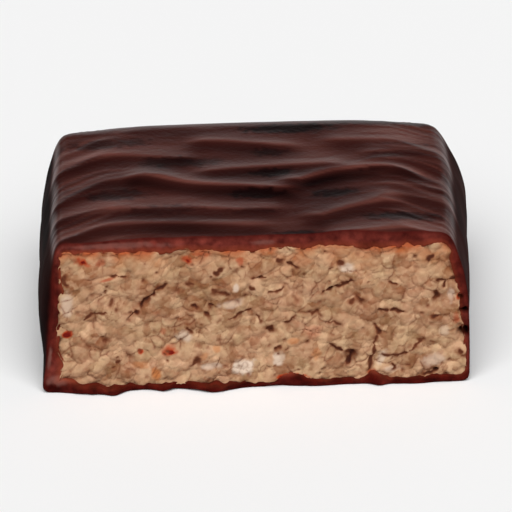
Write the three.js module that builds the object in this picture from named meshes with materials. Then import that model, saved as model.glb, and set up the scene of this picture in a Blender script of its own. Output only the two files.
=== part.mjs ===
import * as THREE from 'three';

// Half of a small bar of sunflower halva in chocolate glaze, cut across and lying on its foot.
// Millimetres. +X runs along the cut face, +Y from the cut to the rounded end, +Z up.

// Driving dimensions of the whole half.
const WIDTH = 38.0;
const DEPTH = 29.2;
const HEIGHT = 14.65;
const CUT_Y = -DEPTH / 2;
const END_Y = DEPTH / 2;

// Rounding: the sharp foot, the soft shoulders and the upright corners of the end. Each corner of a
// section is a little fuller than an ellipse, by a power below 1, and the top falls off to the sides.
const FOOT_RADIUS = 0.9;
const SHOULDER_ACROSS = 1.6;
const SHOULDER_DOWN = 2.0;
const ROUNDING_POWER = 0.77;
const CROWN = 0.4;
const CROWN_FROM = 9;
const END_RADIUS = 3.9;
const END_DROP = 2.2;

// The sides belly out a little low down and lean in above, the right one more towards the end. The left
// one has a waist near the foot, and the knife drew it in at the cut. The end wall leans in too, and
// bows out in the middle.
const LEFT_LEAN = 1.2;
const LEFT_LEAN_FROM = 6;
const LEFT_WAIST = 0.28;
const WAIST_AT = 2.4;
const WAIST_HALF = 1.8;
const RIGHT_LEAN = 0.9;
const RIGHT_LEAN_FROM = 7.5;
const RIGHT_LEAN_GROWTH = 1.1;
const SIDE_BELLY = 0.2;
const END_LEAN = 0.7;
const END_BOW = 0.7;
const END_REACH = 9;
const LEFT_PINCH = 1.3;
const PINCH_FADE = 1.8;
const PINCH_RISE = 8;
const PINCH_TOP_FROM = HEIGHT * 0.55;
const PINCH_TOP_LEFT_OVER = 0.2;

// Glaze: its thickness on each side, how much that wanders, and the gap to the filling. On the right
// it grows by so much from one height to another.
const GLAZE_TOP = 1.35;
const GLAZE_LEFT = 0.9;
const GLAZE_RIGHT = 0.5;
const GLAZE_RIGHT_EXTRA = 0.5;
const EXTRA_FROM = 3;
const EXTRA_TO = 8.5;
const GLAZE_FOOT = 0.65;
const GLAZE_END = 1.3;
const GLAZE_WANDER = 0.14;
const CAVITY_RADIUS = 0.6;
const GAP = 0.3;

// The cut edge: how far it lies behind the cut on average, how far it wanders, and its foot's tongues.
const EDGE_SETBACK = 0.3;
const EDGE_WANDER = 0.2;
const FOOT_TONGUES = [
  { x: -14.6, halfWidth: 2.0, reach: 0.85 },
  { x: -12.5, halfWidth: 0.9, reach: 0.9 },
  { x: -8.0, halfWidth: 0.9, reach: 0.55 },
  { x: -3.8, halfWidth: 2.0, reach: 1.1 },
  { x: 5.5, halfWidth: 1.6, reach: 0.28 },
  { x: 11.0, halfWidth: 0.7, reach: 0.45 },
  { x: 14.0, halfWidth: 2.6, reach: 0.35 },
];

// Ridges blown across the soft glaze, listed from the cut to the end. Each one runs from one x to
// another, starts and ends so far behind the cut, bows by so much midway and stands so high.
const RIDGES = [
  { from: 9, to: 17, start: 0.2, end: 2.2, bow: 0.1, height: 0.28 },
  { from: -18, to: 0, start: 3.8, end: 2.4, bow: 0.6, height: 0.18 },
  { from: 6.5, to: 12, start: 4.2, end: 7.4, bow: 0.3, height: 0.22 },
  { from: 13, to: 19, start: 8.4, end: 10, bow: 0.3, height: 0.14 },
  { from: -18, to: 1, start: 8.4, end: 6.2, bow: -0.6, height: 0.2 },
  { from: -10, to: 2.8, start: 14, end: 10.2, bow: -0.4, height: 0.32 },
  { from: -19, to: -9, start: 12.2, end: 13.6, bow: 0.5, height: 0.18 },
  { from: 4.5, to: 14, start: 12.2, end: 14.8, bow: 1.2, height: 0.32 },
  { from: 14, to: 19, start: 11.6, end: 13.4, bow: 0.2, height: 0.12 },
  { from: -3, to: 7, start: 15, end: 15.6, bow: 0.1, height: 0.24 },
  { from: 13, to: 19, start: 16.6, end: 18.4, bow: 0.3, height: 0.16 },
  { from: -4, to: 2.6, start: 21.6, end: 20.2, bow: 0.2, height: 0.22 },
  { from: 12, to: 19, start: 18.4, end: 19.6, bow: 0.3, height: 0.18 },
  { from: -19, to: -7, start: 19.6, end: 18, bow: 0.5, height: 0.2 },
  { from: 8.5, to: 17, start: 21.2, end: 21, bow: 0, height: 0.2 },
];
// A ridge falls off by a width and a power on each side of its crest.
const RIDGE_NEAR_WIDTH = 1.3;
const RIDGE_NEAR_POWER = 1.3;
const RIDGE_FAR_WIDTH = 1.7;
const RIDGE_FAR_POWER = 1.1;
const RIDGE_TAPER = 3;
const RIDGE_WARP = 0.3;
const RIDGE_DROOP = 3.2;
const DROOP_FROM = 13;
const SIDE_RIPPLE = 0.14;
const SIDE_RIB_SPACING = 1.9;

// The filling's torn face: lumps in two sizes, one long crack, a crumb that stands proud, and pits at
// [x, z, radius, depth].
const FLAKE_TILT = THREE.MathUtils.degToRad(22);
const FLAKE_STRETCH = 1.6;
const LUMPS = [
  { size: 2.6, height: 0.34, seed: 3 },
  { size: 1.3, height: 0.22, seed: 4 },
];
const FACE_RECESS = 0.2;
const CRACK = { from: [-11.0, 7.1], to: [-7.8, 10.2], width: 0.3, depth: 0.7 };
const CRUMB = { x: 12.4, z: 3.4, halfWidth: 1.7, halfHeight: 0.9, height: 0.35 };
const PITS = [
  [8.4, 2.6, 0.7, 0.9],
  [18.5, 4.8, 0.6, 0.7],
  [-5.1, 7.9, 0.5, 0.4],
  [-3.8, 7.7, 0.5, 0.4],
  [16.2, 8.4, 0.5, 0.45],
  [16.0, 1.2, 0.5, 0.5],
];

// Mesh steps along each side of a section, and from the cut to the end.
const SHELL_STEPS = { across: 36, up: 12, foot: 2, shoulder: 3 };
const CORE_STEPS = { across: 60, up: 21, foot: 2, shoulder: 2 };
const STRAIGHT_STEPS = 27;
const ROUND_STEPS = 6;
// Where a lining's sections lie in the rounded end, as shares of its depth.
const LINING_END_SHARES = [1, 0.85, 0.45, 0];

const clamp = (value, low, high) => Math.min(Math.max(value, low), high);

function smooth(low, high, value) {
  const t = clamp((value - low) / (high - low), 0, 1);
  return t * t * (3 - 2 * t);
}

// A repeatable random number between 0 and 1 for each lattice point.
function hash(i, j, seed) {
  const s = Math.sin(i * 127.1 + j * 311.7 + seed * 74.7) * 43758.5453;
  return s - Math.floor(s);
}

// Soft noise between -1 and 1, one lattice step to the unit.
function noise(u, v, seed) {
  const i = Math.floor(u);
  const j = Math.floor(v);
  const a = smooth(0, 1, u - i);
  const b = smooth(0, 1, v - j);
  const near = hash(i, j, seed) * (1 - a) + hash(i + 1, j, seed) * a;
  const far = hash(i, j + 1, seed) * (1 - a) + hash(i + 1, j + 1, seed) * a;
  return 2 * (near * (1 - b) + far * b) - 1;
}

// A sine or cosine drawn out towards 1, which makes a round corner fuller.
function fuller(value) {
  return Math.sign(value) * Math.abs(value) ** ROUNDING_POWER;
}

// One turn round a box-like section: along the foot, up the right, back over the top, down the left.
function sectionOutline(box, steps) {
  const points = [];
  const arc = (x, z, across, down, fromDegrees, count) => {
    for (let k = 0; k < count; k += 1) {
      const angle = THREE.MathUtils.degToRad(fromDegrees + (45 * k) / count);
      const cos = Math.cos(angle);
      const sin = Math.sin(angle);
      points.push({ x: x + across * fuller(cos), z: z + down * fuller(sin), nx: cos, nz: sin });
    }
  };
  const line = (x0, z0, x1, z1, nx, nz, count) => {
    for (let k = 0; k < count; k += 1) {
      const t = k / count;
      points.push({ x: x0 + (x1 - x0) * t, z: z0 + (z1 - z0) * t, nx, nz });
    }
  };
  const { left, right, floor, top, foot, shoulder } = box;
  const footLeft = left + foot;
  const footRight = right - foot;
  const footTop = floor + foot;
  const topLeft = left + shoulder.across;
  const topRight = right - shoulder.across;
  const sideTop = top - shoulder.down;
  const sideSteps = steps.up - steps.foot - steps.shoulder;
  arc(footLeft, footTop, foot, foot, 225, steps.foot);
  line(footLeft, floor, footRight, floor, 0, -1, steps.across - 2 * steps.foot);
  arc(footRight, footTop, foot, foot, 270, steps.foot);
  arc(footRight, footTop, foot, foot, 315, steps.foot);
  line(right, footTop, right, sideTop, 1, 0, sideSteps);
  arc(topRight, sideTop, shoulder.across, shoulder.down, 0, steps.shoulder);
  arc(topRight, sideTop, shoulder.across, shoulder.down, 45, steps.shoulder);
  line(topRight, top, topLeft, top, 0, 1, steps.across - 2 * steps.shoulder);
  arc(topLeft, sideTop, shoulder.across, shoulder.down, 90, steps.shoulder);
  arc(topLeft, sideTop, shoulder.across, shoulder.down, 135, steps.shoulder);
  line(left, sideTop, left, footTop, -1, 0, sideSteps);
  arc(footLeft, footTop, foot, foot, 180, steps.foot);
  return points;
}

// The lean, waist, belly and pinch that outside, cavity and filling all share.
function bend(x, y, z) {
  const rise = clamp(z / HEIGHT, 0, 1);
  const behindCut = Math.max(y - CUT_Y, 0);
  const easedAbove = 1 - (1 - PINCH_TOP_LEFT_OVER) * smooth(PINCH_TOP_FROM, HEIGHT, z);
  const pinch = LEFT_PINCH * Math.exp(-behindCut / PINCH_FADE) * smooth(0, PINCH_RISE, z) * easedAbove;
  const waist = LEFT_WAIST * Math.exp(-(((z - WAIST_AT) / WAIST_HALF) ** 2));
  const leftInset = LEFT_LEAN * smooth(LEFT_LEAN_FROM, HEIGHT + 1, z) + waist + pinch;
  const rightLean = RIGHT_LEAN + RIGHT_LEAN_GROWTH * (behindCut / DEPTH) ** 2;
  const rightInset = rightLean * smooth(RIGHT_LEAN_FROM, HEIGHT + 1, z);
  const inset = (x < 0 ? leftInset : rightInset) - SIDE_BELLY * Math.sin(Math.PI * rise);
  const aside = x / (WIDTH / 2);
  const endInset = (END_LEAN * rise + END_BOW * aside * aside) * smooth(END_Y - END_REACH, END_Y, y);
  return { x: x * (1 - inset / (WIDTH / 2)), y: y - endInset, z };
}

// How far the blown ridges stand at one place on the top.
function ridgeHeight(x, behindCut) {
  let height = 0;
  for (const ridge of RIDGES) {
    const along = clamp((x - ridge.from) / (ridge.to - ridge.from), 0, 1);
    const middle = ridge.start + (ridge.end - ridge.start) * along + ridge.bow * 4 * along * (1 - along);
    const warp = RIDGE_WARP * noise(x / 4.5, ridge.start / 2, 11);
    const droop = RIDGE_DROOP * smooth(DROOP_FROM, WIDTH / 2, Math.abs(x));
    const offset = behindCut - middle - warp + droop;
    const near = Math.exp(-((Math.max(-offset, 0) / RIDGE_NEAR_WIDTH) ** RIDGE_NEAR_POWER));
    const far = Math.exp(-((Math.max(offset, 0) / RIDGE_FAR_WIDTH) ** RIDGE_FAR_POWER));
    const rising = smooth(ridge.from - RIDGE_TAPER, ridge.from, x);
    const fading = smooth(ridge.to, ridge.to + RIDGE_TAPER, x);
    height += ridge.height * rising * (1 - fading) * near * far;
  }
  return height;
}

// The outside departs from the plain section by the crown and ridges on top and soft ribs down the sides.
function swell(x, y, z) {
  const topShare = smooth(HEIGHT - SHOULDER_DOWN - 2.5, HEIGHT - 0.6, z);
  const sideShare = (1 - topShare) * smooth(1.2, 4, z);
  const ribs = noise(y / SIDE_RIB_SPACING + z * 0.06, z / 9 + Math.sign(x) * 5, 21);
  const waves = noise(y / 6 + 3, z / 5 + Math.sign(x) * 7, 22);
  const top = ridgeHeight(x, y - CUT_Y) - CROWN * smooth(CROWN_FROM, WIDTH / 2, Math.abs(x));
  return top * topShare + SIDE_RIPPLE * (0.7 * ribs + 0.6 * waves) * sideShare;
}

function skinPoint(point, y) {
  const out = swell(point.x, y, point.z);
  const bent = bend(point.x, y, point.z);
  return new THREE.Vector3(bent.x + point.nx * out, bent.y, Math.max(bent.z + point.nz * out, 0));
}

// The cut edge of the glaze isn't quite flat, least of all along the foot, where it was pressed forward.
function cutEdge(x, z) {
  let forward = 0;
  for (const tongue of FOOT_TONGUES) {
    forward += tongue.reach * Math.exp(-(((x - tongue.x) / tongue.halfWidth) ** 2));
  }
  const footShare = 1 - smooth(0.5, 1.8, z);
  const wander = EDGE_WANDER * noise(x / 2.3, z / 2.3, 31);
  return EDGE_SETBACK + wander * (1 - footShare) - forward * footShare;
}

// A lining set in from the outside by the glaze and, for the filling, by the gap as well.
function lining(point, y) {
  const wander = GLAZE_WANDER * noise(point.x / 2.2, point.z / 2.2, 41);
  const rightShare = Math.max(point.x / (WIDTH / 2), 0);
  const extra = GLAZE_RIGHT_EXTRA * smooth(EXTRA_FROM, EXTRA_TO, point.z) * rightShare;
  const bent = bend(point.x - extra, y, point.z);
  return new THREE.Vector3(bent.x + point.nx * wander, bent.y, bent.z + point.nz * wander);
}

// The radius of a lining's upright corners at the end, which keep the glaze as thick as on the sides.
function liningEndRadius(clearance) {
  return END_RADIUS - GLAZE_END - clearance;
}

// The depths of a lining's sections in the rounded end, the furthest first.
function liningEndDepths(clearance) {
  const radius = liningEndRadius(clearance);
  return LINING_END_SHARES.map((share) => END_Y - END_RADIUS + radius * share);
}

function liningBox(clearance, y) {
  const radius = liningEndRadius(clearance);
  const share = clamp((y - END_Y + END_RADIUS) / radius, 0, 1);
  const inset = clearance + radius * (1 - Math.sqrt(1 - share ** 2));
  return {
    left: -WIDTH / 2 + GLAZE_LEFT + inset,
    right: WIDTH / 2 - GLAZE_RIGHT - inset,
    floor: GLAZE_FOOT + clearance,
    top: HEIGHT - GLAZE_TOP - clearance,
    foot: CAVITY_RADIUS,
    shoulder: { across: CAVITY_RADIUS, down: CAVITY_RADIUS },
  };
}

// Sections of the outside, from the cut to the last one before the end wall.
function skinRings() {
  const rings = [];
  const addRing = (y, inset, drop, lift) => {
    const box = {
      left: -WIDTH / 2 + inset,
      right: WIDTH / 2 - inset,
      floor: lift,
      top: HEIGHT - drop,
      foot: FOOT_RADIUS,
      shoulder: { across: SHOULDER_ACROSS, down: SHOULDER_DOWN },
    };
    rings.push(sectionOutline(box, SHELL_STEPS).map((point) => skinPoint(point, y)));
  };
  const roundFrom = END_Y - END_RADIUS;
  for (let k = 0; k < STRAIGHT_STEPS; k += 1) {
    addRing(CUT_Y + ((roundFrom - CUT_Y) * k) / STRAIGHT_STEPS, 0, 0, 0);
  }
  for (let k = 0; k <= ROUND_STEPS; k += 1) {
    const turn = (Math.PI / 2) * (k / ROUND_STEPS);
    const away = 1 - Math.cos(turn);
    const y = roundFrom + END_RADIUS * Math.sin(turn);
    addRing(y, END_RADIUS * away, END_DROP * away, FOOT_RADIUS * away);
  }
  for (const point of rings[0]) {
    point.y = CUT_Y + cutEdge(point.x, point.z);
  }
  return rings;
}

function liningRings(clearance, steps, depths) {
  return depths.map((y) => sectionOutline(liningBox(clearance, y), steps).map((point) => lining(point, y)));
}

// The grid that closes one end ring, blended from its four sides, and moved in y by relief(x, z).
function capGrid(ring, steps, relief) {
  const { across, up } = steps;
  const total = ring.length;
  const edge = (index) => ring[(index + total) % total];
  const grid = [];
  for (let j = 0; j <= up; j += 1) {
    const row = [];
    for (let i = 0; i <= across; i += 1) {
      const u = i / across;
      const v = j / up;
      const foot = edge(i);
      const right = edge(across + j);
      const top = edge(2 * across + up - i);
      const left = edge(total - j);
      const point = new THREE.Vector3()
        .addScaledVector(foot, 1 - v)
        .addScaledVector(top, v)
        .addScaledVector(left, 1 - u)
        .addScaledVector(right, u)
        .addScaledVector(edge(0), -(1 - u) * (1 - v))
        .addScaledVector(edge(across), -u * (1 - v))
        .addScaledVector(edge(across + up), -u * v)
        .addScaledVector(edge(2 * across + up), -(1 - u) * v);
      const inside = i > 0 && i < across && j > 0 && j < up;
      if (inside) {
        point.y += relief(point.x, point.z);
      }
      row.push({ point, inside });
    }
    grid.push(row);
  }
  return grid;
}

// Collects a closed surface from rings, end grids and fans.
class Surface {
  constructor() {
    this.vertices = [];
    this.faces = [];
  }

  addVertex(point) {
    this.vertices.push(point.x, point.y, point.z);
    return this.vertices.length / 3 - 1;
  }

  addRing(points) {
    return points.map((point) => this.addVertex(point));
  }

  addQuad(a, b, c, d) {
    this.faces.push(a, b, c, a, c, d);
  }

  // Faces between two rings, turned outward when the second lies further along +Y on an outside.
  addStrip(ring, next) {
    for (let k = 0; k < ring.length; k += 1) {
      const after = (k + 1) % ring.length;
      this.addQuad(ring[k], next[k], next[after], ring[after]);
    }
  }

  // A fan from the middle of a ring, facing -Y or +Y.
  addFan(ring, points, facing) {
    const middle = new THREE.Vector3();
    points.forEach((point) => middle.addScaledVector(point, 1 / points.length));
    const hub = this.addVertex(middle);
    for (let k = 0; k < ring.length; k += 1) {
      const after = (k + 1) % ring.length;
      this.faces.push(hub, ...(facing < 0 ? [ring[k], ring[after]] : [ring[after], ring[k]]));
    }
  }

  addCap(ring, points, steps, facing, relief) {
    const { across, up } = steps;
    const total = ring.length;
    const edgeIndex = (i, j) => {
      if (j === 0) return ring[i];
      if (i === across) return ring[across + j];
      if (j === up) return ring[2 * across + up - i];
      return ring[total - j];
    };
    const grid = capGrid(points, steps, relief).map((row, j) =>
      row.map(({ point, inside }, i) => (inside ? this.addVertex(point) : edgeIndex(i, j))),
    );
    for (let j = 0; j < up; j += 1) {
      for (let i = 0; i < across; i += 1) {
        const corners = [grid[j][i], grid[j][i + 1], grid[j + 1][i + 1], grid[j + 1][i]];
        this.addQuad(...(facing < 0 ? corners : corners.reverse()));
      }
    }
  }

  geometry() {
    const geometry = new THREE.BufferGeometry();
    geometry.setAttribute('position', new THREE.Float32BufferAttribute(this.vertices, 3));
    geometry.setIndex(this.faces);
    geometry.computeVertexNormals();
    return geometry;
  }
}

// The end wall is nearly flat, with shallow hollows left as the glaze set.
function endRelief(x, z) {
  return 0.18 * noise(x / 7, z / 6, 51);
}

function glazeShell() {
  const surface = new Surface();
  const cavityDepths = [...liningEndDepths(0), END_Y - END_REACH, CUT_Y + 2 * PINCH_FADE, CUT_Y];
  const insides = liningRings(0, SHELL_STEPS, cavityDepths);
  for (const point of insides.at(-1)) {
    point.y = CUT_Y + cutEdge(point.x, point.z);
  }
  const outsides = skinRings();
  const allRings = [...insides, ...outsides];
  const indices = allRings.map((points) => surface.addRing(points));
  for (let k = 0; k + 1 < indices.length; k += 1) {
    surface.addStrip(indices[k], indices[k + 1]);
  }
  surface.addFan(indices[0], insides[0], -1);
  surface.addCap(indices.at(-1), outsides.at(-1), SHELL_STEPS, 1, endRelief);
  const material = new THREE.MeshStandardMaterial({ color: 0x46282a, roughness: 0.42, metalness: 0 });
  return named('glaze_shell', surface, material);
}

// Depth of a crack at one place: deepest along its line, fading out to its ends and sides.
function crackDepth(x, z) {
  const [x0, z0] = CRACK.from;
  const [x1, z1] = CRACK.to;
  const span = Math.hypot(x1 - x0, z1 - z0);
  const along = ((x - x0) * (x1 - x0) + (z - z0) * (z1 - z0)) / span;
  const aside = ((x - x0) * (z1 - z0) - (z - z0) * (x1 - x0)) / span;
  const ends = smooth(-0.6, 0.4, along) * (1 - smooth(span - 0.4, span + 0.6, along));
  return CRACK.depth * ends * Math.exp(-((aside / CRACK.width) ** 2));
}

// The torn face: how far each place lies behind the cut.
function crags(x, z) {
  const cos = Math.cos(FLAKE_TILT);
  const sin = Math.sin(FLAKE_TILT);
  const u = (x * cos + z * sin) / FLAKE_STRETCH;
  const v = z * cos - x * sin;
  let depth = crackDepth(x, z);
  for (const { size, height, seed } of LUMPS) {
    depth += height * (0.4 - 1.6 * Math.abs(noise(u / size, v / size, seed)));
  }
  const crumbReach = ((x - CRUMB.x) / CRUMB.halfWidth) ** 2 + ((z - CRUMB.z) / CRUMB.halfHeight) ** 2;
  depth -= CRUMB.height * Math.max(1 - crumbReach, 0);
  for (const [pitX, pitZ, radius, pitDepth] of PITS) {
    depth += pitDepth * Math.exp(-(((x - pitX) ** 2 + (z - pitZ) ** 2) / radius ** 2));
  }
  return Math.max(depth, -FACE_RECESS);
}

function halvaCore() {
  const surface = new Surface();
  const faceDepth = CUT_Y + FACE_RECESS + 0.15;
  const depths = [faceDepth, CUT_Y + 2 * PINCH_FADE, END_Y - END_REACH, ...liningEndDepths(GAP).reverse()];
  const rings = liningRings(GAP, CORE_STEPS, depths);
  const indices = rings.map((points) => surface.addRing(points));
  for (let k = 0; k + 1 < indices.length; k += 1) {
    surface.addStrip(indices[k], indices[k + 1]);
  }
  surface.addCap(indices[0], rings[0], CORE_STEPS, -1, crags);
  surface.addFan(indices.at(-1), rings.at(-1), 1);
  const material = new THREE.MeshStandardMaterial({ color: 0xa87c5d, roughness: 0.92, metalness: 0 });
  return named('halva_core', surface, material);
}

function named(name, surface, material) {
  const mesh = new THREE.Mesh(surface.geometry(), material);
  mesh.name = name;
  return mesh;
}

const group = new THREE.Group();
group.add(glazeShell(), halvaCore());

// The uneven faces move the outer box a little: set its bottom centre back on the origin.
const box = new THREE.Box3().setFromObject(group);
group.position.set(-(box.min.x + box.max.x) / 2, -(box.min.y + box.max.y) / 2, -box.min.z);
group.updateMatrixWorld(true);

export default group;
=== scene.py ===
import math

import bpy
import numpy as np
from mathutils import Matrix, Vector


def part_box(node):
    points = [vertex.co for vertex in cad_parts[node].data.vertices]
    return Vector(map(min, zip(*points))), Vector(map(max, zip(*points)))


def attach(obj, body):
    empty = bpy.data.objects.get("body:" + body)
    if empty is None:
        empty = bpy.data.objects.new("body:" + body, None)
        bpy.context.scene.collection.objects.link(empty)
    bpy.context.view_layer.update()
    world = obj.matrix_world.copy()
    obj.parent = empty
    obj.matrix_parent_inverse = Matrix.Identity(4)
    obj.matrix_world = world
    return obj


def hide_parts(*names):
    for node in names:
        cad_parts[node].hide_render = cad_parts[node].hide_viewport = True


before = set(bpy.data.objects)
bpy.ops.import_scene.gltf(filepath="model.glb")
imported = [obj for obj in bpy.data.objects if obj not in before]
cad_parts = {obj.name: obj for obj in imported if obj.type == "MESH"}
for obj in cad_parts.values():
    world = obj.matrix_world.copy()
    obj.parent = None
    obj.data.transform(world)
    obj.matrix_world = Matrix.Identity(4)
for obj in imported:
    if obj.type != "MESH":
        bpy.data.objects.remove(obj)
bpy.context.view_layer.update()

# Half of a small bar of sunflower halva in chocolate glaze, cut across and lying on its foot.
# Shapes are worked out in millimetres: +X along the cut face, +Y from the cut to the rounded end.
MM = 0.001

# The same driving dimensions as the CAD part.
WIDTH = 38.0
DEPTH = 29.2
HEIGHT = 14.65
CUT_Y = -DEPTH / 2
END_Y = DEPTH / 2
FOOT_RADIUS = 0.9
SHOULDER = (1.6, 2.0)
ROUNDING_POWER = 0.77
CROWN = 0.4
CROWN_FROM = 9
END_RADIUS = 3.9
END_DROP = 2.2
LEFT_LEAN = 1.2
LEFT_LEAN_FROM = 6
LEFT_WAIST = 0.28
WAIST_AT = 2.4
WAIST_HALF = 1.8
RIGHT_LEAN = 0.9
RIGHT_LEAN_FROM = 7.5
RIGHT_LEAN_GROWTH = 1.1
SIDE_BELLY = 0.2
END_LEAN = 0.7
END_BOW = 0.7
END_REACH = 9
LEFT_PINCH = 1.3
PINCH_FADE = 1.8
PINCH_RISE = 8
PINCH_TOP_FROM = HEIGHT * 0.55
PINCH_TOP_LEFT_OVER = 0.2
GLAZE_TOP = 1.35
GLAZE_LEFT = 0.9
GLAZE_RIGHT = 0.5
GLAZE_RIGHT_EXTRA = 0.5
EXTRA_FROM = 3
EXTRA_TO = 8.5
GLAZE_FOOT = 0.65
GLAZE_END = 1.3
GLAZE_WANDER = 0.14
CAVITY_RADIUS = 0.6

# The cut edge: how far it lies behind the cut, how far it wanders, and its foot's tongues as
# (x, half width, reach).
EDGE_SETBACK = 0.3
EDGE_WANDER = 0.2
FOOT_TONGUES = (
    (-14.6, 2.0, 0.85),
    (-12.5, 0.9, 0.9),
    (-8.0, 0.9, 0.55),
    (-3.8, 2.0, 1.1),
    (5.5, 1.6, 0.28),
    (11.0, 0.7, 0.45),
    (14.0, 2.6, 0.35),
)

# Ridges blown across the glaze: from x, to x, start and end behind the cut, bow, height.
RIDGES = (
    (9, 17, 0.2, 2.2, 0.1, 0.28),
    (-18, 0, 3.8, 2.4, 0.6, 0.18),
    (6.5, 12, 4.2, 7.4, 0.3, 0.22),
    (13, 19, 8.4, 10, 0.3, 0.14),
    (-18, 1, 8.4, 6.2, -0.6, 0.2),
    (-10, 2.8, 14, 10.2, -0.4, 0.32),
    (-19, -9, 12.2, 13.6, 0.5, 0.18),
    (4.5, 14, 12.2, 14.8, 1.2, 0.32),
    (14, 19, 11.6, 13.4, 0.2, 0.12),
    (-3, 7, 15, 15.6, 0.1, 0.24),
    (13, 19, 16.6, 18.4, 0.3, 0.16),
    (-4, 2.6, 21.6, 20.2, 0.2, 0.22),
    (12, 19, 18.4, 19.6, 0.3, 0.18),
    (-19, -7, 19.6, 18, 0.5, 0.2),
    (8.5, 17, 21.2, 21, 0, 0.2),
)
RIDGE_NEAR_WIDTH = 1.3
RIDGE_NEAR_POWER = 1.3
RIDGE_FAR_WIDTH = 1.7
RIDGE_FAR_POWER = 1.1
RIDGE_TAPER = 3
RIDGE_WARP = 0.3
RIDGE_DROOP = 3.2
DROOP_FROM = 13
SIDE_RIPPLE = 0.14
SIDE_RIB_SPACING = 1.9

# The filling's torn face: lumps as (size, height, seed), one crumb that stands proud, large pits.
FLAKE_TILT = math.radians(22)
FLAKE_STRETCH = 1.6
LUMPS = ((2.6, 0.34, 3), (1.3, 0.22, 4))
FACE_RECESS = 0.2
CRUMB = (12.4, 3.4)
CRUMB_HALF = (1.7, 0.9)
CRUMB_HEIGHT = 0.35
PITS = (
    (8.4, 2.6, 0.7, 0.9),
    (18.5, 4.8, 0.6, 0.7),
    (-5.1, 7.9, 0.5, 0.4),
    (-3.8, 7.7, 0.5, 0.4),
    (16.2, 8.4, 0.5, 0.45),
    (16.0, 1.2, 0.5, 0.5),
)

# Details that only the looks have. A crest's painted sheen fades over so much before and behind its
# line, and is full from a ridge of a certain height. Painted shade lies so far before each crest.
CREST_NEAR = 0.3
CREST_FAR = 0.9
CREST_FULL_HEIGHT = 0.3
HOLLOW_BEFORE = 1.5
HOLLOW_WIDTH = 1.2
HOLLOW_SHARE = 0.6
WRINKLE_SPACING = 1.35
WRINKLE_HEIGHT = 0.05
RIPPLE_HEIGHT = 0.012

# The glaze's tone from dark (0) to pale (1), with painted sheen and shade in it: on the flat top, what
# wanders, the painted sheen that crests and wrinkles add, the painted shade that hollows take away, and
# on the left and right sides, the left painted darker as shade.
FLAT_TONE = 0.45
TONE_WANDER = 0.14
CREST_SHEEN_TONE = 0.5
WRINKLE_SHEEN_TONE = 0.3
HOLLOW_SHADE_TONE = 0.6
LEFT_SIDE_SHADED_TONE = 0.05
RIGHT_SIDE_TONE = 0.25
SIDE_TONE_WANDER = 0.15

# Painted shade in the hollows between the ridges, in colour only: x, distance behind the cut, half
# width, half depth, tilt in degrees, strength. Those with x below -6 are made up, like the ridges there.
HOLLOW_SHADES = (
    (0.5, 9.4, 3.3, 1.3, -8, 0.9),
    (2.0, 14.0, 2.6, 1.0, 0, 0.9),
    (1.8, 18.8, 2.0, 1.2, 0, 0.7),
    (3.5, 24.3, 4.5, 1.2, 0, 1.0),
    (11.0, 25.5, 6.0, 0.8, 0, 0.6),
    (7.3, 9.3, 2.4, 1.0, 8, 0.6),
    (12.3, 13.9, 3.2, 1.2, 0, 0.6),
    (13.5, 4.0, 3.8, 1.1, 3, 0.9),
    (13.5, 17.6, 3.0, 0.5, 0, 0.5),
    (13.5, 20.0, 3.0, 0.45, 0, 0.5),
    (4.2, 0.6, 2.4, 0.5, 0, 1.0),
    (0.0, 5.2, 3.2, 0.9, 0, 0.6),
    (-8.0, 6.0, 4.0, 1.4, 5, 0.6),
    (-12.0, 10.5, 3.5, 1.4, -6, 0.7),
    (-7.0, 17.0, 4.0, 1.3, 0, 0.7),
    (-13.0, 22.0, 4.0, 1.2, 0, 0.7),
)

# The cut edge's rounding: its radius, the share of it where the first ring lies, the chips along the
# foot, over how much depth the skin behind follows the edge's wander, and that wander's finest part.
EDGE_ROUND = 0.16
EDGE_START = 0.293
FOOT_CHIP = 0.5
EDGE_FOLLOWED = 0.5
EDGE_FINE_WANDER = 0.05

# How far the filling reaches into the glaze, so that no gap shows, how much more the lining wanders
# at a fine scale, and spots where the glaze is thicker: x, z, spread, extra.
FILLING_OVERLAP = 0.12
FINE_WANDER = 1.8
THICK_SPOTS = (
    (-17.2, 5.6, 0.45, 0.8),
    (3.2, 0.6, 1.3, 0.7),
    (10.4, 0.6, 0.6, 0.6),
    (-18.0, 2.4, 1.5, 0.5),
    (-17.4, 0.8, 1.4, 0.5),
    (-10.0, 13.2, 1.6, 0.25),
)

# How much of the CAD part's lumps and pits is left under the crumbs.
LUMP_SHARE = 0.75
PIT_SHARE = 0.6

# Crumbs piled on the torn face: (size, height, how dark the painted shade in the gaps is, seed). Each is
# turned by up to half of CRUMB_TURN and has a least half length and width, plus up to so much more.
CRUMB_PILES = ((1.15, 0.2, 0.55, 5), (0.6, 0.09, 0.38, 6))
CRUMB_STRETCH = 1.15
CRUMB_TURN = 2.6
CRUMB_LENGTH = (0.62, 0.5)
CRUMB_WIDTH = (0.42, 0.35)
CRUMB_BEND = 0.2
GRAIN_HEIGHT = 0.03
GRAIN_SIZE = 0.22

# Small nicks scattered over the torn face: (spacing, share, longest, width, seed).
NICKS = ((2.2, 0.35, 0.3, 0.15, 81), (1.2, 0.35, 0.08, 0.16, 82))
NICK_TILT = math.radians(18)
NICK_SPREAD = math.radians(130)
NICK_DEPTH = 0.08
# how dark the nicks are painted, as shade
NICK_SHADE = 0.6
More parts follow.
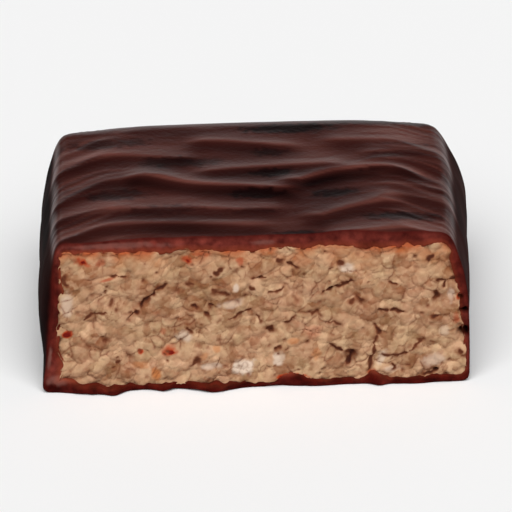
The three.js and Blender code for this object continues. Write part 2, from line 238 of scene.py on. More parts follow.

# The nicks, cracks and holes that catch the eye: from x, z to x, z, half width and depth. Their lines
# waver by so much, and a deep one is painted darker, as shade.
CRACK_DEPTH_SHARE = 0.35
CRACK_WIDENING = 1.15
CRACK_WAVER = 0.27
CRACK_LEAST_OPENING = 0.3
CRACK_LEAST_DARKNESS = 0.42
CRACK_DARKENING = 1.2
CRACKS = (
    (-11.0, 7.2, -10.3, 7.55, 0.18, 0.6),
    (-9.95, 8.15, -8.6, 9.65, 0.15, 0.6),
    (-8.4, 9.8, -7.7, 10.2, 0.17, 0.45),
    (-12.3, 11.1, -11.4, 10.95, 0.15, 0.3),
    (-15.05, 6.85, -14.35, 7.55, 0.15, 0.3),
    (-14.35, 7.6, -12.9, 7.6, 0.15, 0.25),
    (-16.6, 11.0, -16.4, 10.5, 0.22, 0.25),
    (-13.3, 4.9, -13.1, 4.85, 0.22, 0.2),
    (-12.2, 2.7, -11.9, 2.9, 0.22, 0.25),
    (-5.9, 10.1, -5.2, 10.2, 0.15, 0.2),
    (-5.3, 7.9, -5.0, 7.95, 0.24, 0.4),
    (-4.2, 7.15, -4.05, 7.1, 0.2, 0.4),
    (-3.75, 8.05, -3.6, 8.0, 0.22, 0.45),
    (-6.65, 6.85, -6.5, 6.85, 0.18, 0.25),
    (-5.9, 5.9, -5.7, 5.8, 0.2, 0.4),
    (-3.25, 11.2, -2.7, 11.45, 0.16, 0.35),
    (-3.4, 9.6, -2.2, 9.0, 0.2, 0.2),
    (-2.1, 6.75, -1.0, 7.15, 0.15, 0.3),
    (-0.9, 7.2, -0.2, 7.55, 0.17, 0.35),
    (-0.2, 9.5, 0.1, 9.5, 0.2, 0.25),
    (-5.3, 2.5, -5.0, 3.0, 0.3, 0.2),
    (0.2, 10.65, 1.2, 10.75, 0.16, 0.3),
    (0.4, 6.85, 0.7, 6.5, 0.17, 0.25),
    (1.35, 5.5, 1.65, 5.65, 0.24, 0.35),
    (1.4, 9.25, 2.8, 9.45, 0.15, 0.25),
    (1.9, 3.75, 2.2, 3.85, 0.18, 0.25),
    (2.4, 12.2, 2.6, 12.1, 0.2, 0.3),
    (2.9, 6.15, 3.7, 6.6, 0.16, 0.25),
    (3.1, 11.85, 4.0, 11.5, 0.15, 0.3),
    (5.1, 6.95, 5.7, 7.05, 0.2, 0.25),
    (6.3, 9.1, 7.9, 9.55, 0.16, 0.4),
    (7.9, 9.6, 8.75, 10.05, 0.18, 0.4),
    (6.4, 12.9, 6.5, 12.9, 0.2, 0.25),
    (6.7, 6.0, 7.8, 6.0, 0.15, 0.2),
    (6.8, 3.8, 7.8, 3.35, 0.16, 0.4),
    (7.8, 11.7, 8.0, 11.7, 0.18, 0.3),
    (8.25, 2.2, 8.5, 2.95, 0.32, 0.6),
    (8.8, 7.9, 8.95, 8.05, 0.16, 0.25),
    (9.35, 8.35, 9.5, 8.3, 0.22, 0.4),
    (10.4, 2.5, 10.1, 1.3, 0.16, 0.35),
    (10.85, 5.35, 11.1, 5.0, 0.2, 0.45),
    (10.9, 4.6, 10.4, 2.5, 0.14, 0.25),
    (11.3, 7.1, 11.9, 7.1, 0.16, 0.4),
    (12.2, 7.05, 13.4, 7.05, 0.15, 0.4),
    (11.6, 2.75, 13.6, 2.8, 0.15, 0.25),
    (13.6, 2.8, 14.2, 3.5, 0.14, 0.25),
    (12.1, 1.8, 12.4, 1.5, 0.17, 0.3),
    (12.3, 9.6, 12.8, 9.65, 0.17, 0.3),
    (14.3, 3.65, 14.8, 3.9, 0.2, 0.3),
    (15.1, 0.9, 15.7, 1.0, 0.16, 0.4),
    (16.0, 1.15, 16.3, 1.2, 0.24, 0.7),
    (15.65, 11.95, 16.1, 12.05, 0.17, 0.35),
    (16.0, 6.4, 16.25, 6.45, 0.2, 0.4),
    (16.2, 8.45, 16.3, 8.3, 0.28, 0.4),
    (16.3, 9.95, 17.0, 10.0, 0.16, 0.35),
    (17.0, 10.0, 18.3, 9.95, 0.15, 0.45),
    (17.25, 9.8, 17.0, 9.3, 0.17, 0.4),
    (18.2, 3.1, 18.35, 3.0, 0.2, 0.3),
)
# Holes at the filling's right edge, into the glaze: x, z, half width, half height, tilt, strength.
EDGE_HOLES = (
    (18.6, 4.85, 0.55, 0.45, 0, 1.0),
    (18.7, 6.9, 0.5, 0.2, 0, 1.0),
    (18.4, 8.2, 0.3, 0.3, 0, 0.6),
)
EDGE_HOLE_DEPTH = 0.6

# Spots of colour in the filling: x, z, half width, half height, tilt in degrees, strength.
RUST_SPOTS = (
    (-7.5, 3.8, 0.75, 0.5, 15, 0.9),
    (-7.35, 3.7, 0.35, 0.3, 0, 1.8),
    (-10.05, 3.75, 0.3, 0.3, 0, 1.3),
    (-16.6, 5.6, 0.6, 0.35, 20, 1.4),
    (-15.0, 12.5, 0.8, 0.45, -25, 0.9),
    (-14.9, 12.5, 0.4, 0.2, -25, 1.4),
    (-13.4, 12.4, 0.5, 0.45, 0, 0.5),
    (-5.65, 12.35, 0.6, 0.45, -20, 0.8),
    (-5.6, 12.3, 0.3, 0.2, -20, 1.4),
    (-4.5, 13.0, 0.9, 0.35, 0, 0.6),
    (-1.0, 12.3, 0.45, 0.55, 0, 0.7),
    (-12.9, 10.75, 0.7, 0.15, 20, 0.7),
    (-8.0, 5.7, 0.3, 0.35, 0, 0.4),
    (10.0, 13.15, 0.9, 0.35, 0, 0.5),
    (14.6, 13.4, 1.3, 0.35, 0, 0.6),
    (5.3, 5.2, 0.8, 0.7, 0, 0.3),
    (18.0, 6.2, 0.35, 0.6, 0, 0.6),
    (18.3, 8.2, 0.35, 0.35, 0, 1.2),
    (10.4, 0.9, 0.45, 0.6, 0, 1.2),
    (3.2, 0.9, 1.3, 0.4, 0, 1.5),
)
AMBER_SPOTS = (
    (-8.8, 1.6, 0.45, 0.7, 10, 0.9),
    (-10.2, 2.5, 0.8, 0.4, 0, 0.5),
    (-3.3, 3.8, 0.4, 0.4, 0, 0.6),
    (-4.5, 3.1, 0.6, 0.35, 35, 0.5),
    (3.5, 4.4, 0.7, 0.35, 10, 0.5),
    (5.5, 3.1, 0.5, 0.6, 0, 0.5),
)
PALE_SPOTS = (
    (-1.0, 1.95, 1.15, 0.75, 25, 1.3),
    (-6.2, 5.1, 0.8, 0.6, 0, 0.6),
    (-3.9, 2.1, 1.0, 0.35, 5, 0.6),
    (-16.4, 8.6, 0.6, 1.4, 0, 0.5),
    (-1.45, 9.75, 0.3, 0.4, 0, 0.8),
    (-1.9, 8.1, 1.2, 0.4, 10, 0.45),
    (8.4, 11.3, 0.8, 0.45, 0, 0.8),
    (2.1, 2.8, 0.55, 0.65, -20, 0.8),
    (11.3, 2.6, 0.4, 1.0, -30, 0.6),
    (12.2, 1.4, 0.7, 0.4, 0, 0.5),
    (15.9, 2.2, 1.1, 0.6, 15, 0.45),
    (16.9, 5.0, 0.5, 0.6, 0, 0.35),
    (17.6, 8.5, 0.35, 0.7, 0, 0.5),
)
# Darker spots: the first lies in the pit at (8.4, 2.6) and is painted shade there; the others are darker
# patches.
DARK_SPOTS = (
    (8.6, 2.6, 0.7, 0.7, 30, 0.8),
    (-2.9, 9.3, 0.9, 0.4, -10, 0.4),
    (12.6, 5.9, 1.4, 0.6, 0, 0.2),
    (14.4, 5.9, 0.6, 0.4, 0, 0.3),
)
# Where the knife left a pale smear over the glaze's cut edge.
SMEARS = (
    (-18.2, 3.3, 1.2, 0.2, 82, 0.9),
    (-17.6, 1.2, 1.0, 0.5, 0, 0.6),
    (-12.0, 14.0, 5.0, 0.3, 0, 0.5),
    (1.2, 14.0, 1.2, 0.25, 0, 0.5),
)

# The stain under the top glaze: how strong the rust and the amber are, and how far below they reach.
RUST_STAIN = 0.65
RUST_REACH = 0.35
AMBER_STAIN = 0.6
AMBER_REACH = 1.1

# Colours as red, green and blue from 0 to 255. A pair holds the two ends of a cloudy mix.
GLAZE_COLOURS = {
    # the darkest tone: painted shade in the hollows and on the left side
    "hollow_shade": (16, 4, 4),
    "plain": ((47, 18, 15), (60, 27, 23)),
    # painted sheen on the crests
    "crest_sheen": ((94, 51, 44), (113, 67, 58)),
    "fresh": ((72, 25, 21), (120, 52, 43)),
    "dark": ((36, 6, 5), (78, 16, 11)),
    "smear": (122, 80, 72),
    # painted shade in the holes at the filling's right edge
    "hole": (22, 3, 2),
    "rim": (58, 12, 10),
    "margin": (142, 64, 38),
}
HALVA_COLOURS = {
    "low": ((122, 85, 54), (130, 77, 50)),
    "high": ((198, 165, 128), (202, 160, 127)),
    "speck": (152, 110, 78),
    "pale": (210, 188, 168),
    "dull": (100, 70, 48),
    "amber": (178, 108, 58),
    "rust": (160, 58, 24),
    "rust core": (108, 14, 5),
    # painted shade in the gaps between crumbs and in nicks, and deeper in cracks, pits and holes
    "gap_shade": (112, 60, 36),
    "pit_shade": (52, 19, 9),
}
FLOOR_SHADES = (0.89, 0.92)

# Finish: the glaze's roughness on top, down the sides and at the cut, and the tone of its plain skin.
TOP_ROUGHNESS = 0.28
SIDE_ROUGHNESS = 0.8
CUT_ROUGHNESS = 0.75
HALVA_ROUGHNESS = 0.9
FLOOR_ROUGHNESS = 0.9
PLAIN_TONE = 0.4

# Steps of the fine meshes.
SHELL_STEPS = {"across": 236, "up": 84, "foot": 6, "shoulder": 11}
CORE_STEPS = {"across": 500, "up": 158, "foot": 9, "shoulder": 9}
NEAR_STEPS = 6
STRAIGHT_STEPS = 84
ROUND_STEPS = 12
BAND_STEPS = 10
# Where a lining's sections lie in the rounded end, as shares of its depth.
LINING_END_SHARES = (1, 0.9, 0.65, 0.35, 0)


# ---- numbers -------------------------------------------------------------------------------------

def smooth(low, high, value):
    t = np.clip((value - low) / (high - low), 0, 1)
    return t * t * (3 - 2 * t)


def lattice_random(i, j, seed):
    s = np.sin(i * 127.1 + j * 311.7 + seed * 74.7) * 43758.5453
    return s - np.floor(s)


def noise(u, v, seed):
    """Soft noise between -1 and 1, one lattice step to the unit."""
    u, v = np.broadcast_arrays(np.asarray(u, float), np.asarray(v, float))
    i, j = np.floor(u), np.floor(v)
    a, b = smooth(0, 1, u - i), smooth(0, 1, v - j)
    near = lattice_random(i, j, seed) * (1 - a) + lattice_random(i + 1, j, seed) * a
    far = lattice_random(i, j + 1, seed) * (1 - a) + lattice_random(i + 1, j + 1, seed) * a
    return 2 * (near * (1 - b) + far * b) - 1


def fractal(u, v, seed, octaves=3):
    total, weight = 0, 0
    for k in range(octaves):
        total = total + noise(u * 2**k, v * 2**k, seed + 0.3 * k) * 0.5**k
        weight += 0.5**k
    return total / weight


def around(u, v):
    """The lattice square of each point and the eight squares round it."""
    i, j = np.floor(u), np.floor(v)
    return [(i + di, j + dj) for di in (-1, 0, 1) for dj in (-1, 0, 1)]


def crumb_pile(u, v, seed):
    """Overlapping crumbs, one to a lattice square: the top one's height, how far it stands above the
    next, and a random number for it."""
    best = np.full(u.shape, -9.0)
    second = best.copy()
    chance = np.zeros(u.shape)
    for a, b in around(u, v):
        draw = [lattice_random(a, b, seed + 0.07 * k) for k in range(6)]
        du, dv = u - a - draw[0], v - b - draw[1]
        turn = CRUMB_TURN * (draw[2] - 0.5)
        along = (du * np.cos(turn) + dv * np.sin(turn)) / (CRUMB_LENGTH[0] + CRUMB_LENGTH[1] * draw[3])
        aside = (dv * np.cos(turn) - du * np.sin(turn)) / (CRUMB_WIDTH[0] + CRUMB_WIDTH[1] * draw[4])
        height = 0.9 * draw[5] + 0.5 * (draw[3] - 0.5) * aside - along**2 - aside**2
        higher = height > best
        second = np.where(higher, best, np.maximum(second, height))
        chance = np.where(higher, lattice_random(a, b, seed + 0.9), chance)
        best = np.where(higher, height, best)
    return best, best - second, chance


def nicks(x, z, spacing, share, longest, width, seed):
    """Short nicks, at most one to a lattice square: 1 in the middle of a nick, 0 away from all."""
    found = np.zeros(x.shape)
    x = x + 0.1 * fractal(x / 0.4, z / 0.4, seed)
    z = z + 0.1 * fractal(x / 0.4, z / 0.4, seed + 1)
    for a, b in around(x / spacing, z / spacing):
        draw = [lattice_random(a, b, seed + 0.07 * k) for k in range(7)]
        dx, dz = x - (a + draw[0]) * spacing, z - (b + draw[1]) * spacing
        turn = NICK_TILT + NICK_SPREAD * (draw[2] - 0.5)
        along = np.abs(dx * np.cos(turn) + dz * np.sin(turn))
        aside = dz * np.cos(turn) - dx * np.sin(turn)
        beyond = np.maximum(along - longest * draw[3], 0)
        near = np.exp(-((beyond**2 + aside**2) / (width * (0.6 + 0.8 * draw[4])) ** 2))
        found = np.maximum(found, near * (draw[5] < share) * (0.3 + 0.7 * draw[6]))
    return found


def spots(x, z, table):
    """Soft-edged ovals of a given strength, broken up a little."""
    found = 0
    ragged = 0.45 * fractal(x / 0.45, z / 0.45, 91)
    for spot_x, spot_z, half_wide, half_high, tilt, strength in table:
        cos, sin = math.cos(math.radians(tilt)), math.sin(math.radians(tilt))
        along = ((x - spot_x) * cos + (z - spot_z) * sin) / half_wide
        aside = ((z - spot_z) * cos - (x - spot_x) * sin) / half_high
        away = np.hypot(along, aside) + ragged
        found = np.maximum(found, strength * (1 - smooth(0.45, 1.25, away)))
    return found


# ---- the plain form, as in CAD -------------------------------------------------------------------

def section_outline(box, steps):
    """One turn round a section: foot, right side, top, left side. Columns are x, z, nx, nz."""
    rows = []

    def arc(x, z, across, down, start, count):
        angle = np.radians(start + 45 * np.arange(count) / count)
        cos, sin = np.cos(angle), np.sin(angle)
        out_x = across * np.sign(cos) * np.abs(cos) ** ROUNDING_POWER
        out_z = down * np.sign(sin) * np.abs(sin) ** ROUNDING_POWER
        rows.append(np.stack([x + out_x, z + out_z, cos, sin], 1))

    def line(x0, z0, x1, z1, nx, nz, count):
        t = np.arange(count) / count
        rows.append(np.stack([x0 + (x1 - x0) * t, z0 + (z1 - z0) * t, 0 * t + nx, 0 * t + nz], 1))

    left, right, floor, top, foot, (across, down) = box
    side_steps = steps["up"] - steps["foot"] - steps["shoulder"]
    arc(left + foot, floor + foot, foot, foot, 225, steps["foot"])
    line(left + foot, floor, right - foot, floor, 0, -1, steps["across"] - 2 * steps["foot"])
    arc(right - foot, floor + foot, foot, foot, 270, steps["foot"])
    arc(right - foot, floor + foot, foot, foot, 315, steps["foot"])
    line(right, floor + foot, right, top - down, 1, 0, side_steps)
    arc(right - across, top - down, across, down, 0, steps["shoulder"])
    arc(right - across, top - down, across, down, 45, steps["shoulder"])
    line(right - across, top, left + across, top, 0, 1, steps["across"] - 2 * steps["shoulder"])
    arc(left + across, top - down, across, down, 90, steps["shoulder"])
    arc(left + across, top - down, across, down, 135, steps["shoulder"])
    line(left, top - down, left, floor + foot, -1, 0, side_steps)
    arc(left + foot, floor + foot, foot, foot, 180, steps["foot"])
    return np.concatenate(rows)


def bend(x, y, z):
    """The lean, waist, belly and pinch that outside, cavity and filling all share."""
    rise = np.clip(z / HEIGHT, 0, 1)
    behind = np.maximum(y - CUT_Y, 0)
    on_left = x < 0
    eased_above = 1 - (1 - PINCH_TOP_LEFT_OVER) * smooth(PINCH_TOP_FROM, HEIGHT, z)
    pinch = LEFT_PINCH * np.exp(-behind / PINCH_FADE) * smooth(0, PINCH_RISE, z) * eased_above
    waist = LEFT_WAIST * np.exp(-(((z - WAIST_AT) / WAIST_HALF) ** 2))
    left_inset = LEFT_LEAN * smooth(LEFT_LEAN_FROM, HEIGHT + 1, z) + waist + pinch
    right_lean = RIGHT_LEAN + RIGHT_LEAN_GROWTH * (behind / DEPTH) ** 2
    right_inset = right_lean * smooth(RIGHT_LEAN_FROM, HEIGHT + 1, z)
    inset = np.where(on_left, left_inset, right_inset) - SIDE_BELLY * np.sin(np.pi * rise)
    aside = x / (WIDTH / 2)
    end_inset = (END_LEAN * rise + END_BOW * aside * aside) * smooth(END_Y - END_REACH, END_Y, y)
    return np.stack([x * (1 - inset / (WIDTH / 2)), y - end_inset, z], 1)


def ridge_offsets(x, behind):
    """For each ridge, how far each place lies behind its crest line, and the ridge's height there."""
    for start_x, end_x, start, end, bow, tall in RIDGES:
        along = np.clip((x - start_x) / (end_x - start_x), 0, 1)
        middle = start + (end - start) * along + bow * 4 * along * (1 - along)
        droop = RIDGE_DROOP * smooth(DROOP_FROM, WIDTH / 2, np.abs(x))
        offset = behind - middle - RIDGE_WARP * noise(x / 4.5, start / 2, 11) + droop
        ends = smooth(start_x - RIDGE_TAPER, start_x, x) * (1 - smooth(end_x, end_x + RIDGE_TAPER, x))
        yield offset, tall * ends


def ridge_height(x, behind):
    height = 0
    for offset, tall in ridge_offsets(x, behind):
        near = np.exp(-((np.maximum(-offset, 0) / RIDGE_NEAR_WIDTH) ** RIDGE_NEAR_POWER))
        far = np.exp(-((np.maximum(offset, 0) / RIDGE_FAR_WIDTH) ** RIDGE_FAR_POWER))
        height = height + tall * near * far
    return height


def swell(x, y, z):
    """How far the outside stands proud: a crowned top with ridges, soft ribs down the sides."""
    top_share = smooth(HEIGHT - SHOULDER[1] - 2.5, HEIGHT - 0.6, z)
    side_share = (1 - top_share) * smooth(1.2, 4, z)
    ribs = noise(y / SIDE_RIB_SPACING + z * 0.06, z / 9 + np.sign(x) * 5, 21)
    waves = noise(y / 6 + 3, z / 5 + np.sign(x) * 7, 22)
    top = ridge_height(x, y - CUT_Y) - CROWN * smooth(CROWN_FROM, WIDTH / 2, np.abs(x))
    return top * top_share + SIDE_RIPPLE * (0.7 * ribs + 0.6 * waves) * side_share


def cut_edge(x, z):
    """How far the glaze's cut edge lies behind the cut. Along the foot its tongues reach forward."""
    forward = 0
    for tongue_x, half_width, reach in FOOT_TONGUES:
        forward = forward + reach * np.exp(-(((x - tongue_x) / half_width) ** 2))
    foot_share = 1 - smooth(0.5, 1.8, z)
    wander = EDGE_WANDER * noise(x / 2.3, z / 2.3, 31)
    return EDGE_SETBACK + wander * (1 - foot_share) - forward * foot_share


def edge_hole(x, z):
    """How far each place lies inside a hole at the filling's right edge, 0 to 1."""
    return np.minimum(spots(x, z, EDGE_HOLES), 1)


# ---- surfaces ------------------------------------------------------------------------------------

class Surface:
    """Collects a closed surface from rings, end grids and fans, with one number kept on each point."""

    def __init__(self):
        self.points, self.faces, self.marks, self.count = [], [], [], 0

    def add_points(self, points, mark=0.0):
        first = self.count
        self.points.append(points)
        self.marks.append(np.broadcast_to(np.asarray(mark, float), (len(points),)))
        self.count += len(points)
        return np.arange(first, self.count)

    def add_strip(self, ring, following):
        self.faces.append(np.stack([ring, following, np.roll(following, -1), np.roll(ring, -1)], 1))

    def add_fan(self, ring, points, facing):
        hub = np.full(len(ring), self.add_points(points.mean(0)[None])[0])
        after = np.roll(ring, -1)
        pair = (ring, after) if facing < 0 else (after, ring)
        self.faces.append(np.stack([hub, pair[0], pair[1], pair[1]], 1))

    def add_cap(self, ring, points, steps, facing, relief):
        """A grid over one end ring, blended from its four sides, and moved in y by relief(x, z)."""
        across, up = steps["across"], steps["up"]
        total = len(ring)
        i, j = np.meshgrid(np.arange(across + 1), np.arange(up + 1))
        u, v = (i / across)[..., None], (j / up)[..., None]
        foot, right = points[i[0]][None], points[across + j[:, 0]][:, None]
        top = points[2 * across + up - i[0]][None]
        left = points[(total - j[:, 0]) % total][:, None]
        corners = points[0], points[across], points[across + up], points[2 * across + up]
        grid = foot * (1 - v) + top * v + left * (1 - u) + right * u
        grid = grid - corners[0] * (1 - u) * (1 - v) - corners[1] * u * (1 - v) - corners[2] * u * v
        grid = grid - corners[3] * (1 - u) * v
        inner = grid[1:-1, 1:-1].reshape(-1, 3)
        inner[:, 1] += relief(inner[:, 0], inner[:, 2])
        index = np.empty((up + 1, across + 1), int)
        index[0], index[-1] = ring[: across + 1], ring[2 * across + up - i[0]]
        index[:, -1], index[:, 0] = ring[across + j[:, 0]], ring[(total - j[:, 0]) % total]
        index[1:-1, 1:-1] = self.add_points(inner).reshape(up - 1, across - 1)
        around_each = [index[:-1, :-1], index[:-1, 1:], index[1:, 1:], index[1:, :-1]]
        quads = np.stack(around_each, -1).reshape(-1, 4)
        self.faces.append(quads if facing < 0 else quads[:, ::-1])


def make_mesh(name, surface, shift, marks, material):
    points = (np.concatenate(surface.points) + shift) * MM
    mesh = bpy.data.meshes.new(name)
    # a fan's faces name their last point twice, which makes them triangles here
    faces = [list(dict.fromkeys(face)) for face in np.concatenate(surface.faces).tolist()]
    mesh.from_pydata(points.tolist(), [], faces)
    mesh.polygons.foreach_set("use_smooth", np.ones(len(mesh.polygons), bool))
    for key, values in marks.items():
        attribute = mesh.attributes.new(key, "FLOAT", "POINT")
        attribute.data.foreach_set("value", np.asarray(values, np.float32))
    mesh.materials.append(material)
    mesh.update()
    piece = bpy.data.objects.new(name, mesh)
    bpy.context.scene.collection.objects.link(piece)
    return piece


# ---- glaze ---------------------------------------------------------------------------------------

def over_top(z):
    """1 on top of the glaze, 0 down its sides."""
    return smooth(HEIGHT - 3, HEIGHT - 1, z)


def wrinkles(x, behind):
    """Fine crest lines that run with the ridges and crowd over the shoulders, between 0 and 1."""
    rise = 3.5 * smooth(2, 13, x) * (1 - smooth(16, 23, behind)) + 1.8 * smooth(-2, -14, x)
    droop = RIDGE_DROOP * smooth(DROOP_FROM, WIDTH / 2, np.abs(x))
    flow = behind - rise + droop + 0.6 * noise(x / 5, behind / 4, 62)
    line = (1 - np.abs(noise(x / 8, flow / WRINKLE_SPACING, 61))) ** 4
    return line * (0.25 + 0.75 * smooth(8, 15, np.abs(x)))


def fine_swell(x, y, z):
    """Wrinkles in the glaze too fine for CAD, on top and fainter down the sides."""
    top = over_top(z)
    share = (0.35 + 0.65 * top) * smooth(0.6, 3, z)
    ripple = RIPPLE_HEIGHT * noise(x / 2, y / 0.6, 64) * top
    return WRINKLE_HEIGHT * wrinkles(x, y - CUT_Y) * share + ripple


def edge_radius(x, z):
    """How far the outside is rounded at the cut, with chips broken out along the foot."""
    foot_share = 1 - smooth(0.9, 1.6, z)
    chips = smooth(-0.1, 0.8, fractal(x / 2.4, 0.5, 36)) * smooth(-17, -15, x) * (1 - smooth(16, 18, x))
    return EDGE_ROUND + FOOT_CHIP * chips * foot_share


def painted_sheen_and_shade(x, y, z):
    """The skin's tone, towards 1 on a ridge's crest, where a sheen is painted, and towards 0 before it,
    where shade is painted; the left side is painted darker than the right."""
    behind = y - CUT_Y
    top = over_top(z)
    crest, hollow_shade = 0, 0
    for offset, tall in ridge_offsets(x, behind):
        strength = np.minimum(tall / CREST_FULL_HEIGHT, 1)
        near = np.exp(-((np.minimum(offset, 0) / CREST_NEAR) ** 2))
        far = np.exp(-np.maximum(offset, 0) / CREST_FAR)
        crest = np.maximum(crest, strength * near * far)
        before = np.exp(-(((offset + HOLLOW_BEFORE) / HOLLOW_WIDTH) ** 2))
        hollow_shade = np.maximum(hollow_shade, strength * before)
    # painted shade in the hollows before the crests and in the listed ones
    hollow_shade = np.maximum(HOLLOW_SHARE * hollow_shade, spots(x, behind, HOLLOW_SHADES))
    soft = TONE_WANDER * noise(x / 6, behind / 3, 65)
    # painted sheen on the crests and wrinkles
    raised = CREST_SHEEN_TONE * crest
    flat = FLAT_TONE + soft + raised + WRINKLE_SHEEN_TONE * wrinkles(x, behind) - HOLLOW_SHADE_TONE * hollow_shade
    # the left side painted darker than the right, as shade
    side = np.where(x < 0, LEFT_SIDE_SHADED_TONE, RIGHT_SIDE_TONE) + SIDE_TONE_WANDER * noise(y / 3, z / 4, 66)
    return np.clip(flat * top + side * (1 - top), 0, 1)


def quarter_round(away, radius):
    """How far a rounded edge falls back at a distance from it."""
    short = np.maximum(radius - away, 0)
    return radius - np.sqrt(np.maximum(radius**2 - short**2, 0))


def skin_ring(share, y, inset, drop, lift):
    """One section of the outside. Share is how far through the rounded cut edge it lies."""
    box = (-WIDTH / 2 + inset, WIDTH / 2 - inset, lift, HEIGHT - drop, FOOT_RADIUS, SHOULDER)
    x, z, nx, nz = section_outline(box, SHELL_STEPS).T
    radius = edge_radius(x, z)
    places = np.where(share < 1, CUT_Y + radius * share, np.maximum(y, CUT_Y + radius * share))
    out = swell(x, places, z) + fine_swell(x, places, z) - quarter_round(places - CUT_Y, radius)
    points = bend(x, places, z)
    points[:, 0] += nx * out
    points[:, 2] = np.maximum(points[:, 2] + nz * out, 0)
    return points


def skin_rings():
    """Sections of the outside: over the rounded cut edge, along the straight part, round the end."""
    rings = []
    round_from = END_Y - END_RADIUS
    for k in range(NEAR_STEPS):
        share = EDGE_START + (1 - EDGE_START) * (k / NEAR_STEPS) ** 1.5
        rings.append(skin_ring(share, CUT_Y, 0, 0, 0))
    straight = np.linspace(CUT_Y + EDGE_ROUND, round_from, STRAIGHT_STEPS, endpoint=False)
    for k, y in enumerate(straight):
        rings.append(skin_ring(1 + 0.1 * k, y, 0, 0, 0))
    for k in range(ROUND_STEPS + 1):
        turn = math.pi / 2 * k / ROUND_STEPS
        away = 1 - math.cos(turn)
        y = round_from + END_RADIUS * math.sin(turn)
        rings.append(skin_ring(1, y, END_RADIUS * away, END_DROP * away, FOOT_RADIUS * away))
    # the cut edge wanders, and the skin just behind it follows
    x, z = rings[0][:, 0], rings[0][:, 2]
    wander = cut_edge(x, z) + EDGE_FINE_WANDER * fractal(x / 0.7, z / 0.7, 33)
    for ring in rings:
        ring[:, 1] += wander * np.exp(-np.maximum(ring[:, 1] - CUT_Y, 0) / EDGE_FOLLOWED)
    return rings


def lining_end_radius(clearance):
    """The radius of a lining's upright corners at the end, which keep the glaze thick there."""
    return END_RADIUS - GLAZE_END - clearance


def lining_end_depths(clearance):
    """The depths of a lining's sections in the rounded end, the furthest first."""
    radius = lining_end_radius(clearance)
    return [END_Y - END_RADIUS + radius * share for share in LINING_END_SHARES]


def lining_ring(clearance, y, steps):
    """One section of the cavity, or of the filling where it stands clear of that by a clearance."""
    radius = lining_end_radius(clearance)
    share = min(max((y - END_Y + END_RADIUS) / radius, 0), 1)
    inset = clearance + radius * (1 - math.sqrt(1 - share**2))
    box = (-WIDTH / 2 + GLAZE_LEFT + inset, WIDTH / 2 - GLAZE_RIGHT - inset, GLAZE_FOOT + clearance,
           HEIGHT - GLAZE_TOP - clearance, CAVITY_RADIUS, (CAVITY_RADIUS, CAVITY_RADIUS))
    x, z, nx, nz = section_outline(box, steps).T
    fine = FINE_WANDER * fractal(x / 0.7, z / 0.7, 42)
    wander = GLAZE_WANDER * (noise(x / 2.2, z / 2.2, 41) + fine)
    for spot_x, spot_z, spread, extra in THICK_SPOTS:
        wander = wander - extra * np.exp(-((x - spot_x) ** 2 + (z - spot_z) ** 2) / spread**2)
    thicker = GLAZE_RIGHT_EXTRA * smooth(EXTRA_FROM, EXTRA_TO, z) * np.maximum(x / (WIDTH / 2), 0)
    points = bend(x - thicker, np.full_like(x, y), z)
    points[:, 0] += nx * wander
    points[:, 2] += nz * wander
    return points


def band_rings(outer, inner):
    """The glaze's own cut face, between its outer and its inner edge."""
    rings = []
    for k in range(1, BAND_STEPS + 1):
        t = (k / BAND_STEPS) ** 1.4
        ring = outer * (1 - t) + inner * t
        x, z = ring[:, 0], ring[:, 2]
        radius = edge_radius(outer[:, 0], outer[:, 2])
        apart = np.hypot(x - outer[:, 0], z - outer[:, 2]) + EDGE_START * radius
        rough = 0.14 * fractal(x / 0.5, z / 0.5, 34) + 0.1 * noise(x / 1.4, z / 1.4, 35)
        rough = rough + EDGE_HOLE_DEPTH * edge_hole(x, z)
        rounded = CUT_Y + cut_edge(x, z) + quarter_round(apart, radius)
        ring[:, 1] = rounded + rough * smooth(0, 0.3, apart)
        rings.append(ring)
    return rings


def band_depth(x, z):
    """How dark the cut glaze is: most along the foot, then the sides, least along the top's left."""
    foot = 1 - smooth(0.8, 1.5, z)
    left = 0.75 * (1 - smooth(-17.4, -16.6, x)) * smooth(2.2, 3.6, z) * (1 - smooth(11.5, 13, z))
    right = 0.6 * smooth(16.4, 17.2, x)
    top = 0.35 * smooth(-6, 8, x)
    sides = np.maximum(left, right)
    return np.maximum(np.maximum(foot, top), sides) + 0.25 * noise(x / 1.3, z / 1.3, 37)


def end_relief(x, z):
    """Shallow hollows in the end wall, as in the CAD part."""
    return 0.18 * noise(x / 7, z / 6, 51)


def glaze_shell():
    """The glaze, and its outside's lowest and highest corners. The number on its points is 2 on the
    cavity's rings, 2 to 1 across the cut face, and fades to 0 on the skin behind."""
    surface = Surface()
    outsides = skin_rings()
    front = lining_ring(0, CUT_Y, SHELL_STEPS)
    band = band_rings(outsides[0], front)[::-1]
    inner_depths = (*lining_end_depths(0), END_Y - END_REACH, CUT_Y + 2 * PINCH_FADE, CUT_Y + 1.0)
    insides = [lining_ring(0, y, SHELL_STEPS) for y in inner_depths]
    indices = [surface.add_points(ring, 2.0) for ring in insides]
    indices += [surface.add_points(ring, 2 - k / BAND_STEPS) for k, ring in enumerate(band)]
    for ring in outsides:
        behind = np.maximum(ring[:, 1] - outsides[0][:, 1], 0)
        ragged = 0.14 + 0.1 * fractal(ring[:, 0] / 0.6, ring[:, 2] / 0.6, 38)
        indices.append(surface.add_points(ring, np.exp(-behind / ragged)))
    for ring, following in zip(indices, indices[1:]):
        surface.add_strip(ring, following)
    surface.add_fan(indices[0], insides[0], -1)
    surface.add_cap(indices[-1], outsides[-1], SHELL_STEPS, 1, end_relief)
    outline = np.concatenate(outsides)
    low, high = outline.min(0), outline.max(0)
    return surface, low, high


# ---- halva ---------------------------------------------------------------------------------------

def flake_place(x, z):
    """A place along and across the flakes, which lie at a tilt."""
    cos, sin = math.cos(FLAKE_TILT), math.sin(FLAKE_TILT)
    return (x * cos + z * sin) / FLAKE_STRETCH, z * cos - x * sin


